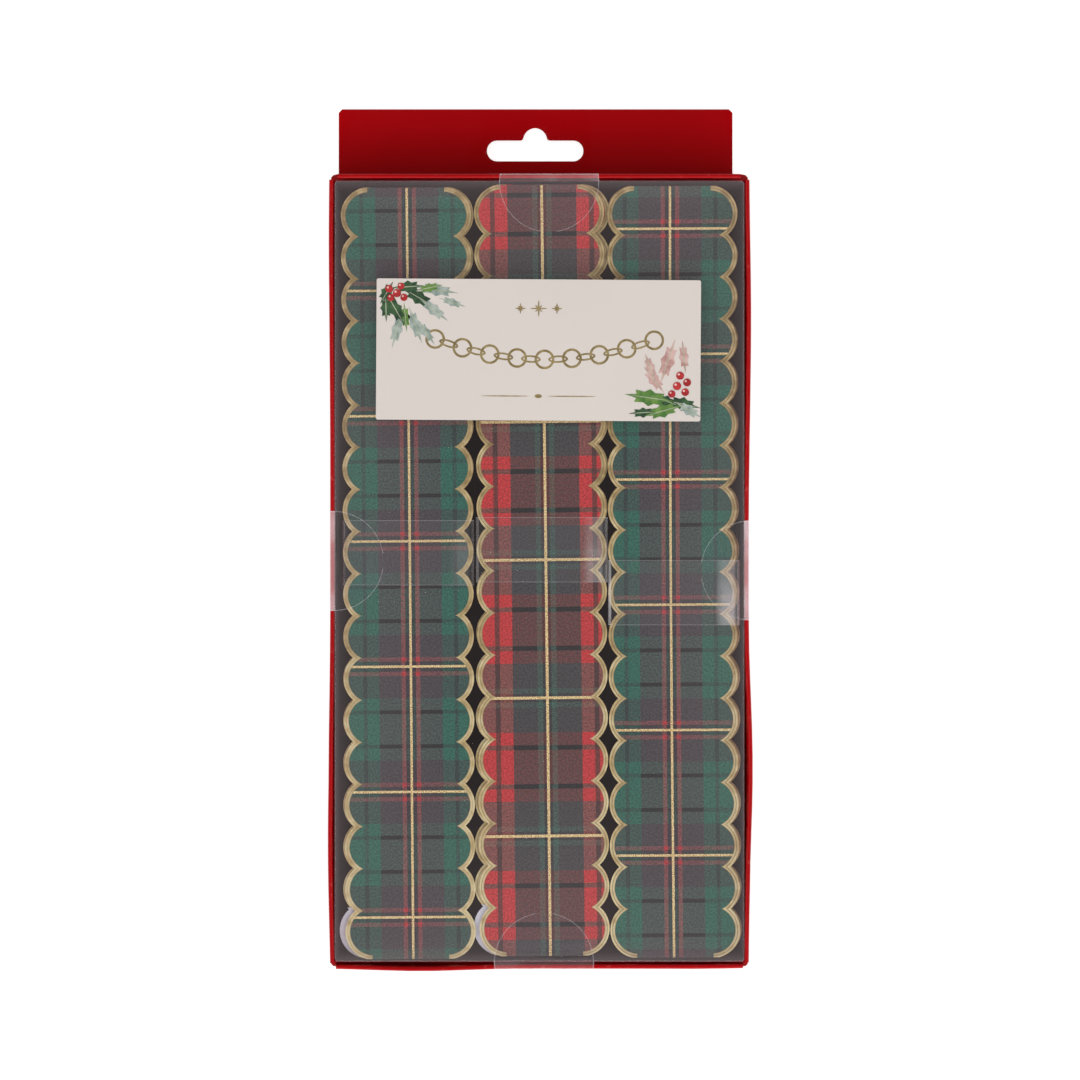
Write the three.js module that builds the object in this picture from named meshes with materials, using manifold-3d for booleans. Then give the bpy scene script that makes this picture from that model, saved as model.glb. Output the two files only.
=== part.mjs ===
import * as THREE from 'three';
import { mergeVertices } from 'three/addons/utils/BufferGeometryUtils.js';
import Module from 'manifold-3d';

const wasm = await Module();
wasm.setup();

// A boxed set of paper chain strips: a red card tray with a hang tab, a clear lid, three banded
// stacks of scalloped strips, a label and four round seals.
// Millimetres. The pack lies on its back: X across, Y towards the hang tab, Z up out of the clear
// face. The origin lies under the middle of the outer box.

// Tray, one folded sheet of card
const floorThickness = 0.6;
const wallThickness = 1.15;
const wallTop = 17.1;
const foldSize = 0.35;
const leftFoot = -69.05;
const rightFoot = 68.5;
const topFoot = 120.3;
const bottomFoot = -140.5;
const footInset = 0.2;
const floorCornerCut = 2.5;
const sideWallEnds = [-139.0, 117.3];
const topWallEnds = [-66.0, 65.6];
const bottomWallEnds = [-65.2, 65.5];

// How far each wall's top edge leans out along its length, as [place, lean] pairs. The walls
// stand straight where a seal holds them and bulge between the seals.
const leftLean = [
  [-139.0, 0.0],
  [-101.8, 0.8],
  [-59.1, 0.3],
  [-28.0, 0.0],
  [14.0, 0.0],
  [60.0, 0.3],
  [95.3, 0.5],
  [117.3, 0.35],
];
const rightLean = [
  [-139.0, 0.0],
  [-75.5, 1.35],
  [-55.0, 1.05],
  [-29.0, 0.0],
  [10.0, 0.0],
  [69.0, 0.8],
  [117.3, 0.25],
];
const bottomLean = [
  [-65.2, 0.45],
  [-36.2, 1.25],
  [-17.5, 0.4],
  [20.5, 0.4],
  [46.0, 0.45],
  [65.5, 0.0],
];
const topLean = [
  [-66.0, 0.0],
  [65.6, 0.0],
];

// Hang tab, two layers of the same card folded over
const tabThickness = 1.2;
const tabLeft = -66.3;
const tabRight = 63.2;
const tabTop = 141.75;
const tabRoot = 119.7;
const tabCorner = 1.2;
const slotMiddle = -1.55;
const slotLength = 32.0;
const slotBottom = 124.6;
const slotTop = 131.4;
const humpRadius = 4.1;
const humpDrop = 2.0;

// Clear lid, five-sided and open at the back
const lidSheet = 0.3;
const lidTop = 17.5;
const lidLeft = -67.6;
const lidRight = 67.05;
const lidBottomEnd = -138.55;
const lidTopEnd = 118.1;
const lidCorner = 1.2;
const lidFold = 0.4;
const lidRim = 0.9;

// Strips, all cut with the same scalloped edge
const stripLength = 253.4;
const stripWidth = 42.8;
const stripCard = 0.6;
const lobesPerSide = 18;
const lobePitch = 13.85;
const lobeRadius = 9.2;
const stripsPerStack = 11;
const firstStripBottom = 1.0;
const stripPitch = 1.18;

// Three stacks: the top strip's middle and turn in degrees, the turn of the strips under it, and
// the middle of the film band that holds the stack
const stacks = [
  { name: 'green_left', x: -43.4, y: -11.0, turn: 0.38, lowerTurn: 0.42, bandY: -4.2, color: 0x4e7a66 },
  { name: 'red_middle', x: 0.5, y: -10.0, turn: 0.45, lowerTurn: 0.3, bandY: -3.2, color: 0xa03c38 },
  { name: 'green_right', x: 44.0, y: -10.5, turn: 0.23, lowerTurn: 0.26, bandY: -17.3, color: 0x4e7a66 },
];
const turnSpread = 0.07;
const sideSpread = 0.08;
const lengthSpread = 0.3;

// Film band round each stack
const bandWidth = 21.4;
const bandFilm = 0.1;
const bandHalfInside = 21.6;
const bandSlack = 0.2;
const bandCorner = 0.8;

// Peel-off liner under the lower end of a top strip
const linerPaper = 0.15;
const linerLength = 16.5;
const linerLift = 0.2;
const linerShiftX = -1.9;
const linerShiftY = 0.5;

// Label on the lid's face
const labelWidth = 106.6;
const labelHeight = 46.4;
const labelX = -0.6;
const labelY = 62.45;
const labelTurn = -0.35;
const labelPaper = 0.12;

// Round seals: each lies half on the lid's face, crosses to the tray wall and runs down it.
// beyond is how far its middle lies outside the lid's edge.
const sealRadius = 16.4;
const sealFilm = 0.1;
const sealSegments = 16;
const sealGap = 0.03;
const seals = [
  { name: 'seal_left', side: 'left', at: -6.9, beyond: 0.2 },
  { name: 'seal_right', side: 'right', at: -10.0, beyond: 2.0 },
  { name: 'seal_top', side: 'top', at: 2.9, beyond: -0.6 },
  { name: 'seal_bottom', side: 'bottom', at: 1.2, beyond: 0.3 },
];

const colors = {
  tray: 0xb80f1c,
  lid: 0xdfe3e6,
  band: 0xe8ecee,
  liner: 0xc9c4d2,
  label: 0xe8dfd6,
  seal: 0xe6e6ea,
};

function radians(degrees) {
  return (degrees * Math.PI) / 180;
}

// Area of a flat outline, positive when it runs counterclockwise
function outlineArea(points) {
  let area = 0;
  for (let i = 0; i < points.length; i += 1) {
    const a = points[i];
    const b = points[(i + 1) % points.length];
    area += (a.x * b.y - b.x * a.y) / 2;
  }
  return area;
}

// Triangles that fill a counterclockwise outline
function fillOutline(points) {
  return THREE.ShapeUtils.triangulateShape(points, []).map(([a, b, c]) => {
    const turn = outlineArea([points[a], points[b], points[c]]);
    return turn > 0 ? [a, b, c] : [a, c, b];
  });
}

function signedVolume(vertices, faces) {
  let volume = 0;
  for (const [a, b, c] of faces) {
    const cross = new THREE.Vector3().crossVectors(vertices[b], vertices[c]);
    volume += vertices[a].dot(cross) / 6;
  }
  return volume;
}

function geometryFrom(vertices, faces) {
  const outward = signedVolume(vertices, faces) > 0;
  const geometry = new THREE.BufferGeometry();
  const positions = vertices.flatMap((v) => [v.x, v.y, v.z]);
  const indices = faces.flatMap(([a, b, c]) => (outward ? [a, b, c] : [a, c, b]));
  geometry.setAttribute('position', new THREE.Float32BufferAttribute(positions, 3));
  geometry.setIndex(indices);
  geometry.computeVertexNormals();
  return geometry;
}

// A solid skinned over rings of equal point counts. With an outline it's capped at both ends,
// and without one the last ring joins the first.
function solidFromRings(rings, outline = null) {
  const count = rings[0].length;
  const vertices = rings.flat();
  const faces = [];
  const joins = outline ? rings.length - 1 : rings.length;
  for (let r = 0; r < joins; r += 1) {
    const lower = r * count;
    const upper = ((r + 1) % rings.length) * count;
    for (let i = 0; i < count; i += 1) {
      const next = (i + 1) % count;
      faces.push([lower + i, lower + next, upper + next]);
      faces.push([lower + i, upper + next, upper + i]);
    }
  }
  if (outline) {
    const last = (rings.length - 1) * count;
    for (const [a, b, c] of fillOutline(outline)) {
      faces.push([a, c, b]);
      faces.push([last + a, last + b, last + c]);
    }
  }
  return geometryFrom(vertices, faces);
}

// A flat sheet with the given outline between two heights
function sheet(outline, bottom, top) {
  const settings = { depth: top - bottom, bevelEnabled: false };
  const geometry = new THREE.ExtrudeGeometry(new THREE.Shape(outline), settings);
  return geometry.translate(0, 0, bottom);
}

// Fills the ends of a solid whose rings have four points
const squareOutline = [
  new THREE.Vector2(0, 0),
  new THREE.Vector2(1, 0),
  new THREE.Vector2(1, 1),
  new THREE.Vector2(0, 1),
];

function placed(outline, x, y, degrees) {
  const middle = new THREE.Vector2(0, 0);
  const shift = new THREE.Vector2(x, y);
  return outline.map((p) => p.clone().rotateAround(middle, radians(degrees)).add(shift));
}

function roundedRectangle(left, bottom, right, top, radius, segments) {
  const corners = [
    [right - radius, bottom + radius, -90],
    [right - radius, top - radius, 0],
    [left + radius, top - radius, 90],
    [left + radius, bottom + radius, 180],
  ];
  return corners.flatMap(([x, y, start]) => {
    const points = [];
    for (let i = 0; i <= segments; i += 1) {
      const angle = radians(start + (90 * i) / segments);
      points.push(new THREE.Vector2(x + radius * Math.cos(angle), y + radius * Math.sin(angle)));
    }
    return points;
  });
}

// Value between the two nearest pairs, eased so that the wall has no kinks
function easedValue(pairs, place) {
  for (let i = 1; i < pairs.length; i += 1) {
    const [from, fromValue] = pairs[i - 1];
    const [to, toValue] = pairs[i];
    if (place <= to) {
      const share = THREE.MathUtils.smoothstep(place, from, to);
      return fromValue + (toValue - fromValue) * share;
    }
  }
  return pairs[pairs.length - 1][1];
}

// Each side of the pack: where a point that lies out, along and up goes
const sides = {
  left: { foot: leftFoot, lid: lidLeft, sign: -1, place: (out, along, z) => [out, along, z] },
  right: { foot: rightFoot, lid: lidRight, sign: 1, place: (out, along, z) => [out, along, z] },
  top: { foot: topFoot, lid: lidTopEnd, sign: 1, place: (out, along, z) => [along, out, z] },
  bottom: { foot: bottomFoot, lid: lidBottomEnd, sign: -1, place: (out, along, z) => [along, out, z] },
};
const leans = { left: leftLean, right: rightLean, top: topLean, bottom: bottomLean };

// A wall's cross-section as [out, z], with out 0 on its outer face. The top is rolled over.
function wallSection() {
  const radius = wallThickness / 2;
  const points = [
    [-wallThickness, 0],
    [-foldSize, 0],
    [0, foldSize],
  ];
  const segments = 4;
  for (let i = 0; i <= segments; i += 1) {
    const angle = radians((180 * i) / segments);
    points.push([radius * Math.cos(angle) - radius, wallTop - radius + radius * Math.sin(angle)]);
  }
  return points;
}

function wall(sideName, ends, stations) {
  const side = sides[sideName];
  const section = wallSection();
  const rings = [];
  for (let s = 0; s <= stations; s += 1) {
    const along = ends[0] + ((ends[1] - ends[0]) * s) / stations;
    const lean = easedValue(leans[sideName], along);
    rings.push(section.map(([out, z]) => {
      const outward = side.foot + side.sign * (out + (lean * z) / wallTop);
      return new THREE.Vector3(...side.place(outward, along, z));
    }));
  }
  return solidFromRings(rings, section.map(([out, z]) => new THREE.Vector2(out, z)));
}

function floorOutline() {
  const left = leftFoot + footInset;
  const right = rightFoot - footInset;
  const bottom = bottomFoot + footInset;
  const top = topFoot - footInset;
  const cut = floorCornerCut;
  return [
    new THREE.Vector2(left + cut, bottom),
    new THREE.Vector2(right - cut, bottom),
    new THREE.Vector2(right, bottom + cut),
    new THREE.Vector2(right, top - cut),
    new THREE.Vector2(right - cut, top),
    new THREE.Vector2(left + cut, top),
    new THREE.Vector2(left, top - cut),
    new THREE.Vector2(left, bottom + cut),
  ];
}

// Hang slot: a long round-ended slot, and the round hump in the middle of its upper edge
function slotOutline() {
  const radius = (slotTop - slotBottom) / 2;
  const reach = slotLength / 2;
  return roundedRectangle(slotMiddle - reach, slotBottom, slotMiddle + reach, slotTop, radius - 0.01, 8);
}

function humpOutline() {
  const points = [];
  for (let i = 0; i <= 12; i += 1) {
    const angle = radians(15 * i);
    const x = slotMiddle + humpRadius * Math.cos(angle);
    points.push(new THREE.Vector2(x, slotTop + humpRadius * Math.sin(angle)));
  }
  points.push(new THREE.Vector2(slotMiddle - humpRadius, slotTop - humpDrop));
  points.push(new THREE.Vector2(slotMiddle + humpRadius, slotTop - humpDrop));
  return points;
}

function manifoldOf(geometry) {
  const bare = new THREE.BufferGeometry();
  bare.setAttribute('position', geometry.getAttribute('position').clone());
  if (geometry.index) {
    bare.setIndex(geometry.index.clone());
  }
  const merged = mergeVertices(bare, 1e-4);
  return new wasm.Manifold(new wasm.Mesh({
    numProp: 3,
    vertProperties: new Float32Array(merged.getAttribute('position').array),
    triVerts: new Uint32Array(merged.index.array),
  }));
}

function geometryOf(solid) {
  const mesh = solid.getMesh();
  const geometry = new THREE.BufferGeometry();
  geometry.setAttribute('position', new THREE.Float32BufferAttribute(mesh.vertProperties, 3));
  geometry.setIndex(Array.from(mesh.triVerts));
  geometry.computeVertexNormals();
  return geometry;
}

function trayGeometry() {
  const tab = sheet(roundedRectangle(tabLeft, tabRoot, tabRight, tabTop, tabCorner, 3), 0, tabThickness);
  const slot = manifoldOf(sheet(slotOutline(), -1, tabThickness + 1));
  const hump = manifoldOf(sheet(humpOutline(), -1, tabThickness + 1));
  const pieces = [
    manifoldOf(sheet(floorOutline(), 0, floorThickness)),
    manifoldOf(wall('left', sideWallEnds, 24)),
    manifoldOf(wall('right', sideWallEnds, 24)),
    manifoldOf(wall('top', topWallEnds, 1)),
    manifoldOf(wall('bottom', bottomWallEnds, 14)),
    manifoldOf(tab).subtract(slot).subtract(hump),
  ];
  return geometryOf(pieces.reduce((joined, piece) => joined.add(piece)));
}

function lidGeometry() {
  const outline = (inset, radius) => roundedRectangle(
    lidLeft + inset,
    lidBottomEnd + inset,
    lidRight - inset,
    lidTopEnd - inset,
    radius,
    3,
  );
  const ring = (points, z) => points.map((p) => new THREE.Vector3(p.x, p.y, z));
  const outer = outline(0, lidCorner);
  const inner = outline(lidSheet, lidCorner - lidSheet);
  const face = outline(lidFold, lidCorner - lidFold);
  return solidFromRings([
    ring(inner, lidTop - lidSheet),
    ring(inner, lidRim),
    ring(outer, lidRim),
    ring(outer, lidTop - lidFold),
    ring(face, lidTop),
  ], outer);
}

// One long edge of a strip, from its lower end to its upper end. All lobes are alike, and the
// strip's straight ends cut the outermost ones short.
function scallopedEdge() {
  const centreX = stripWidth / 2 - lobeRadius;
  const half = Math.asin(lobePitch / 2 / lobeRadius);
  const outermost = ((lobesPerSide - 1) / 2) * lobePitch;
  const endAngle = Math.asin((stripLength / 2 - outermost) / lobeRadius);
  const points = [];
  for (let lobe = 0; lobe < lobesPerSide; lobe += 1) {
    const first = lobe === 0;
    const last = lobe === lobesPerSide - 1;
    const centreY = lobe * lobePitch - outermost;
    const from = first ? -endAngle : -half;
    const to = last ? endAngle : half;
    const segments = first || last ? 4 : 3;
    const stop = last ? segments : segments - 1;
    for (let i = 0; i <= stop; i += 1) {
      const angle = from + ((to - from) * i) / segments;
      const x = centreX + lobeRadius * Math.cos(angle);
      points.push(new THREE.Vector2(x, centreY + lobeRadius * Math.sin(angle)));
    }
  }
  return points;
}

// A flat sheet whose left edge mirrors its right one, placed by a turn in degrees and a shift
function mirroredSheet(rightEdge, x, y, turn, bottom, top) {
  const middle = new THREE.Vector2(0, 0);
  const rings = rightEdge.map((p) => {
    const right = p.clone().rotateAround(middle, radians(turn));
    const left = new THREE.Vector2(-p.x, p.y).rotateAround(middle, radians(turn));
    return [
      new THREE.Vector3(left.x + x, left.y + y, bottom),
      new THREE.Vector3(right.x + x, right.y + y, bottom),
      new THREE.Vector3(right.x + x, right.y + y, top),
      new THREE.Vector3(left.x + x, left.y + y, top),
    ];
  });
  return solidFromRings(rings, squareOutline);
}

// The lower end of a strip's edge, up to the given length
function endEdge(length) {
  const limit = length - stripLength / 2;
  const kept = scallopedEdge().filter((p) => p.y < limit);
  kept.push(new THREE.Vector2(kept[kept.length - 1].x, limit));
  return kept;
}

// How a strip lies in its stack. The top one is placed by the stack, and those under it vary.
function stripPlace(stack, level) {
  if (level === stripsPerStack - 1) {
    return { x: stack.x, y: stack.y, turn: stack.turn };
  }
  return {
    x: stack.x + sideSpread * Math.sin(level * 2.4),
    y: stack.y + lengthSpread * Math.abs(Math.sin(level * 1.7)),
    turn: stack.lowerTurn + turnSpread * Math.sin(level * 1.1 + 0.5),
  };
}

function stripBottom(level) {
  return firstStripBottom + stripPitch * level;
}

function stripGeometry(stack, level) {
  const { x, y, turn } = stripPlace(stack, level);
  const bottom = stripBottom(level);
  return mirroredSheet(scallopedEdge(), x, y, turn, bottom, bottom + stripCard);
}

function linerGeometry(stack) {
  const level = stripsPerStack - 2;
  const bottom = stripBottom(level) + stripCard + linerLift;
  const x = stack.x + linerShiftX;
  const y = stack.y + linerShiftY;
  return mirroredSheet(endEdge(linerLength), x, y, stack.turn, bottom, bottom + linerPaper);
}

function bandGeometry(stack) {
  const inside = {
    bottom: firstStripBottom - bandSlack,
    top: stripBottom(stripsPerStack - 1) + stripCard + bandSlack,
  };
  const loop = (grow) => roundedRectangle(
    stack.x - bandHalfInside - grow,
    inside.bottom - grow,
    stack.x + bandHalfInside + grow,
    inside.top + grow,
    bandCorner + grow,
    3,
  );
  const ring = (points, y) => points.map((p) => new THREE.Vector3(p.x, y, p.y));
  const low = stack.bandY - bandWidth / 2;
  const high = stack.bandY + bandWidth / 2;
  return solidFromRings([
    ring(loop(bandFilm), low),
    ring(loop(bandFilm), high),
    ring(loop(0), high),
    ring(loop(0), low),
  ]);
}

function labelGeometry() {
  const outline = roundedRectangle(
    -labelWidth / 2,
    -labelHeight / 2,
    labelWidth / 2,
    labelHeight / 2,
    0.4,
    1,
  );
  return sheet(placed(outline, labelX, labelY, labelTurn), lidTop, lidTop + labelPaper);
}

// The way a seal runs, as [out, z] from the lid's face over the wall's top and down its side
function sealPath(seal) {
  const side = sides[seal.side];
  const lean = easedValue(leans[seal.side], seal.at);
  const across = Math.abs(side.foot - side.lid);
  const inner = sealRadius - seal.beyond;
  const outerFace = (z) => across + (lean * z) / wallTop + sealGap;
  return [
    [-inner, lidTop],
    [0, lidTop],
    [outerFace(wallTop) - 0.3, wallTop + 0.12],
    [outerFace(wallTop), wallTop - 0.2],
    [outerFace(0), 0],
  ];
}

// Point and normal on a path at a length from its start
function alongPath(path, length) {
  let left = length;
  for (let i = 1; i < path.length; i += 1) {
    const [x0, z0] = path[i - 1];
    const [x1, z1] = path[i];
    const run = Math.hypot(x1 - x0, z1 - z0);
    if (left <= run || i === path.length - 1) {
      const direction = new THREE.Vector2((x1 - x0) / run, (z1 - z0) / run);
      const point = new THREE.Vector2(x0 + direction.x * left, z0 + direction.y * left);
      return { point, normal: new THREE.Vector2(-direction.y, direction.x) };
    }
    left -= run;
  }
  throw new Error('the path is empty');
}

function bendLengths(path) {
  const lengths = [];
  let total = 0;
  for (let i = 1; i < path.length - 1; i += 1) {
    total += Math.hypot(path[i][0] - path[i - 1][0], path[i][1] - path[i - 1][1]);
    lengths.push(total);
  }
  return lengths;
}

function sealGeometry(seal) {
  const side = sides[seal.side];
  const path = sealPath(seal);
  const bends = bendLengths(path);
  const stations = [...bends];
  for (let i = 1; i < sealSegments; i += 1) {
    const length = sealRadius * (1 - Math.cos((Math.PI * i) / sealSegments));
    if (bends.every((bend) => Math.abs(bend - length) > 0.4)) {
      stations.push(length);
    }
  }
  stations.sort((a, b) => a - b);
  const rings = stations.map((length) => {
    const before = alongPath(path, length - 1e-6);
    const after = alongPath(path, length + 1e-6);
    const normal = before.normal.clone().add(after.normal).normalize();
    const thickness = sealFilm / normal.dot(before.normal);
    const half = Math.sqrt(sealRadius ** 2 - (length - sealRadius) ** 2);
    const top = before.point.clone().addScaledVector(normal, thickness);
    const corner = (p, along) => {
      return new THREE.Vector3(...side.place(side.lid + side.sign * p.x, seal.at + along, p.y));
    };
    return [corner(before.point, -half), corner(before.point, half), corner(top, half), corner(top, -half)];
  });
  return solidFromRings(rings, squareOutline);
}

function material(color, roughness, opacity = 1) {
  return new THREE.MeshStandardMaterial({ color, roughness, opacity, transparent: opacity < 1 });
}

const part = new THREE.Group();
part.name = 'boxed_paper_chain_set';

function addPiece(name, geometry, pieceMaterial) {
  const mesh = new THREE.Mesh(geometry, pieceMaterial);
  mesh.name = name;
  part.add(mesh);
}

addPiece('card_tray', trayGeometry(), material(colors.tray, 0.35));
addPiece('clear_lid', lidGeometry(), material(colors.lid, 0.08, 0.25));
for (const stack of stacks) {
  for (let level = 0; level < stripsPerStack; level += 1) {
    const number = String(level + 1).padStart(2, '0');
    addPiece(`${stack.name}_strip_${number}`, stripGeometry(stack, level), material(stack.color, 0.5));
  }
  addPiece(`${stack.name}_band`, bandGeometry(stack), material(colors.band, 0.1, 0.25));
}
addPiece('green_left_liner', linerGeometry(stacks[0]), material(colors.liner, 0.6));
addPiece('red_middle_liner', linerGeometry(stacks[1]), material(colors.liner, 0.6));
addPiece('label', labelGeometry(), material(colors.label, 0.45));
for (const seal of seals) {
  addPiece(seal.name, sealGeometry(seal), material(colors.seal, 0.15, 0.4));
}

export default part;
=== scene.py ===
import math

import bmesh
import bpy
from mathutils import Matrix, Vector


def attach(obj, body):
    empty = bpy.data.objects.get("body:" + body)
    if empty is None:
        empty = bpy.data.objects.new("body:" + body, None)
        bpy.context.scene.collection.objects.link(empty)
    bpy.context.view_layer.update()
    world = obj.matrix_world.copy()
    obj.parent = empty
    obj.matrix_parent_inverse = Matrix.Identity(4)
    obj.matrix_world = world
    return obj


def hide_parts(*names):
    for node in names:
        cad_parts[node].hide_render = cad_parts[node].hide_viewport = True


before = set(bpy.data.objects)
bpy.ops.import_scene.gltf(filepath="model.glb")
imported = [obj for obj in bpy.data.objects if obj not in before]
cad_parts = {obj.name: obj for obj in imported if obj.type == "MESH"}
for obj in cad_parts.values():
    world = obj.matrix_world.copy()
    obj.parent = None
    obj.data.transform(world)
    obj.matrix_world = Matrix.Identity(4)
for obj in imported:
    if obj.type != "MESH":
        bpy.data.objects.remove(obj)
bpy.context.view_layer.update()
mm = 0.001
closeBy = 1e-6


# small helpers for working in edit mode

def letGo():
    if bpy.context.object and bpy.context.object.mode != "OBJECT":
        bpy.ops.object.mode_set(mode="OBJECT")
    bpy.ops.object.select_all(action="DESELECT")


def workOn(*pieces):
    letGo()
    for piece in pieces:
        piece.select_set(True)
    bpy.context.view_layer.objects.active = pieces[0]


def edit(piece):
    workOn(piece)
    bpy.ops.object.mode_set(mode="EDIT")
    bpy.ops.mesh.select_all(action="SELECT")


def pick(kind, test):
    # a vertex is tested by its place, an edge by both its ends, a face by its middle and normal
    mesh = bpy.context.object.data
    bpy.context.tool_settings.mesh_select_mode = (kind == "VERT", kind == "EDGE", kind == "FACE")
    bpy.ops.mesh.select_all(action="DESELECT")
    shape = bmesh.from_edit_mesh(mesh)
    if kind == "VERT":
        chosen = [vert for vert in shape.verts if test(vert.co)]
    elif kind == "EDGE":
        chosen = [edge for edge in shape.edges if all(test(vert.co) for vert in edge.verts)]
    else:
        chosen = [face for face in shape.faces if test(face.calc_center_median(), face.normal)]
    for element in chosen:
        element.select_set(True)
    bmesh.update_edit_mesh(mesh)


def keepUpright():
    # of the selected edges, only those that stand on end stay selected
    mesh = bpy.context.object.data
    for edge in bmesh.from_edit_mesh(mesh).edges:
        if edge.select and abs(edge.verts[0].co.z - edge.verts[1].co.z) < closeBy:
            edge.select_set(False)
    bmesh.update_edit_mesh(mesh)


def pull(x=0.0, y=0.0, z=0.0):
    bpy.ops.mesh.extrude_edges_move(TRANSFORM_OT_translate={"value": (x, y, z)})


def cut(place, normal, clear=False):
    bpy.ops.mesh.select_all(action="SELECT")
    bpy.ops.mesh.bisect(plane_co=place, plane_no=normal, clear_outer=clear, threshold=closeBy)


def modify(piece, kind, **settings):
    workOn(piece)
    step = piece.modifiers.new(kind.lower(), kind)
    for name, value in settings.items():
        setattr(step, name, value)
    bpy.ops.object.modifier_apply(modifier=step.name)


def settle(piece, name):
    # puts a piece's place into its mesh and names it
    workOn(piece)
    bpy.ops.object.transform_apply(location=True, rotation=True, scale=True)
    piece.name = name
    piece.data.name = name
    return piece


def carve(piece, tool):
    modify(piece, "BOOLEAN", operation="DIFFERENCE", solver="EXACT", object=tool, material_mode="TRANSFER")
    bpy.data.objects.remove(tool)


def bendBy(piece, cage):
    bpy.context.view_layer.update()
    modify(piece, "LATTICE", object=cage)
    bpy.data.objects.remove(cage)


def copyOf(piece, name):
    twin = piece.copy()
    twin.data = piece.data.copy()
    bpy.context.collection.objects.link(twin)
    twin.name = name
    twin.data.name = name
    return twin


def joinAll(pieces, name):
    workOn(*pieces)
    if len(pieces) > 1:
        bpy.ops.object.join()
    piece = bpy.context.object
    piece.name = name
    piece.data.name = name
    return piece


def turnPiece(piece, degrees, x=0.0, y=0.0, z=0.0):
    piece.rotation_euler = (0, 0, math.radians(degrees))
    piece.location = (x, y, z)
    workOn(piece)
    bpy.ops.object.transform_apply(location=True, rotation=True, scale=True)


def faceOut(piece, probe, wanted):
    # the normals are made to agree, then all turned if the face nearest probe looks away from wanted
    edit(piece)
    bpy.ops.mesh.normals_make_consistent(inside=False)
    letGo()
    nearest = min(piece.data.polygons, key=lambda face: (face.center - Vector(probe)).length)
    if nearest.normal.dot(Vector(wanted)) < 0:
        edit(piece)
        bpy.ops.mesh.flip_normals()
        letGo()


def smooth(piece, degrees=35):
    workOn(piece)
    bpy.ops.object.shade_smooth_by_angle(angle=math.radians(degrees))


class Nodes:
    # lets a material read as a list of steps
    def __init__(self, name):
        self.material = bpy.data.materials.new(name)
        self.material.use_nodes = True
        self.tree = self.material.node_tree
        self.tree.nodes.clear()
        self.output = self.tree.nodes.new("ShaderNodeOutputMaterial")

    def add(self, kind, inputs=None, **settings):
        node = self.tree.nodes.new("ShaderNode" + kind)
        for name, value in settings.items():
            setattr(node, name, value)
        for name, value in (inputs or {}).items():
            if hasattr(value, "is_output"):
                self.tree.links.new(value, node.inputs[name])
            else:
                node.inputs[name].default_value = value
        return node

    def math(self, operation, *values):
        return self.add("Math", {i: v for i, v in enumerate(values)}, operation=operation).outputs[0]

    def mix(self, factor, first, second, blend="MIX"):
        node = self.add("Mix", data_type="RGBA", blend_type=blend)
        for socket, value in ((node.inputs[0], factor), (node.inputs[6], first), (node.inputs[7], second)):
            if hasattr(value, "is_output"):
                self.tree.links.new(value, socket)
            else:
                socket.default_value = value
        return node.outputs[2]

    def rampNode(self, factor, stops, interpolation="LINEAR"):
        node = self.add("ValToRGB", {"Fac": factor})
        band = node.color_ramp
        band.interpolation = interpolation
        while len(band.elements) < len(stops):
            band.elements.new(0.5)
        for element, (place, color) in zip(band.elements, stops):
            element.position = place
            element.color = color if len(color) == 4 else (*color, 1)
        return node

    def ramp(self, factor, stops):
        return self.rampNode(factor, stops).outputs["Color"]

    def noise(self, scale, vector, detail=2.0, roughness=0.5):
        inputs = {"Scale": scale, "Vector": vector, "Detail": detail, "Roughness": roughness}
        return self.add("TexNoise", inputs).outputs["Fac"]

    def place(self, source="Object"):
        return self.add("TexCoord").outputs[source]

    def split(self, vector):
        return self.add("SeparateXYZ", {0: vector}).outputs

    def stretched(self, vector, scale):
        return self.add("Mapping", {"Vector": vector, "Scale": scale}).outputs[0]

    def bump(self, height, strength, distance):
        return self.add("Bump", {"Height": height, "Strength": strength, "Distance": distance}).outputs["Normal"]

    def finish(self, shader):
        self.tree.links.new(shader, self.output.inputs["Surface"])
        return self.material

    def surface(self, inputs):
        return self.finish(self.add("BsdfPrincipled", inputs).outputs[0])


def gray(value):
    return (value, value, value, 1)


def fibrous(name, scale, dark, light, rough, relief, depth=0.0001, metal=0.0, spread=0.2):
    # paper, card or ink that a fine noise varies between two tones
    look = Nodes(name)
    fiber = look.noise(scale, look.place(), 3.0)
    return look.surface({
        "Base Color": look.ramp(fiber, [(0.5 - spread, dark), (0.5 + spread, light)]),
        "Metallic": metal, "Roughness": rough, "Normal": look.bump(fiber, relief, depth),
    })


# camera, light and floor; sizes in metres

studio = {
    "cameraHeight": 12.0, "cameraX": -0.0001, "lens": 1215.6,
    "floorColor": 0.50, "floorShade": 0.49, "floorGlow": 0.72, "floorGrain": 60.0,
    "floorSize": 40.0, "floorDrop": 0.0002,
    # the sky is pale low down and dim overhead, and stronger in front than behind
    "skyLow": 1.0, "skyLowTo": 0.80, "skyHigh": 0.08, "skyHighFrom": 0.97,
    "skyFront": 1.25, "skyBehind": 0.55, "skyTurn": 0.7,
    "lamps": {
        "softLeft": ((-1.3, 0.25, 1.1), (0.9, 1.2), 4.0),
        "softRight": ((1.3, 0.1, 1.15), (0.9, 1.2), 4.0),
        "softFront": ((0.0, -1.5, 0.75), (1.4, 0.7), 9.0),
        "softTop": ((0.0, 0.0, 3.5), (0.5, 0.5), 7.0),
    },
    "unseenLamp": "softTop",  # lights the foot of the gap round the lid without a mirror image
}


def buildCamera():
    camera = bpy.data.cameras.new("camera")
    camera.lens = studio["lens"]
    camera.sensor_width = 36
    camera.clip_end = 100
    holder = bpy.data.objects.new("camera", camera)
    holder.location = (studio["cameraX"], 0.0, studio["cameraHeight"])
    bpy.context.collection.objects.link(holder)
    bpy.context.scene.camera = holder
    bpy.context.scene.view_settings.view_transform = "Standard"


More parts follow.
